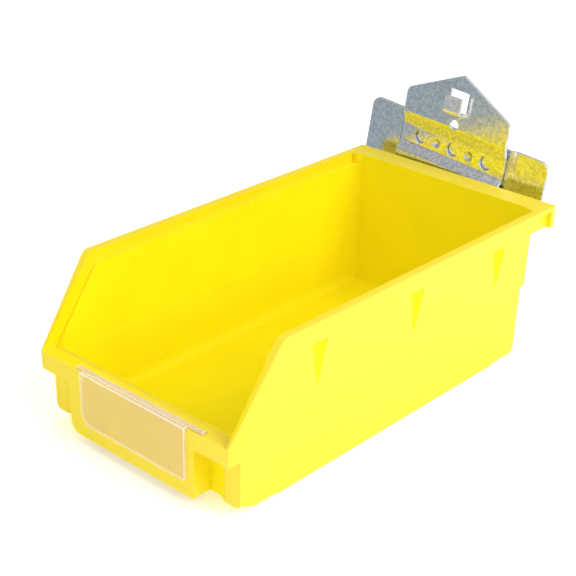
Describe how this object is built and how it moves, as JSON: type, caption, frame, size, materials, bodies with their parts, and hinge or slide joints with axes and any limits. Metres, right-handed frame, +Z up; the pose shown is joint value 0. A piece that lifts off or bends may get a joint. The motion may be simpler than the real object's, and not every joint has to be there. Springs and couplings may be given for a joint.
{
  "type": "hanging parts bin",
  "caption": "Open-front moulded parts bin with a sloped rim, a clear swing-up label window and a sheet-steel hanger on its rear rim.",
  "frame": {"origin": "middle of the underside of the base foot", "axes": "+Z up, +Y from the front lip towards the hanger, +X to the right as seen from the front"},
  "size_m": [0.1093, 0.2037, 0.1086],
  "materials": {
    "yellow_plastic": "satin moulded polypropylene",
    "clear_plastic": "clear moulded plastic",
    "zinc_steel": "galvanised, fine spangle"
  },
  "bodies": {
    "tub": {"bin_tub": "yellow_plastic"},
    "window": {"label_window": "clear_plastic"},
    "hanger": {"hook_plate": "zinc_steel", "back_plate": "zinc_steel"}
  },
  "joints": [
    {"name": "window_swing", "type": "hinge", "parent": "tub", "child": "window", "pos_m": [0, -0.0929, 0.0322], "axis": [-1, 0, 0], "range_deg": [0, 110]},
    {"name": "hanger_lift_off", "type": "slide", "parent": "tub", "child": "hanger", "axis": [0, 0, -1], "range_m": [0, 0.014]}
  ]
}
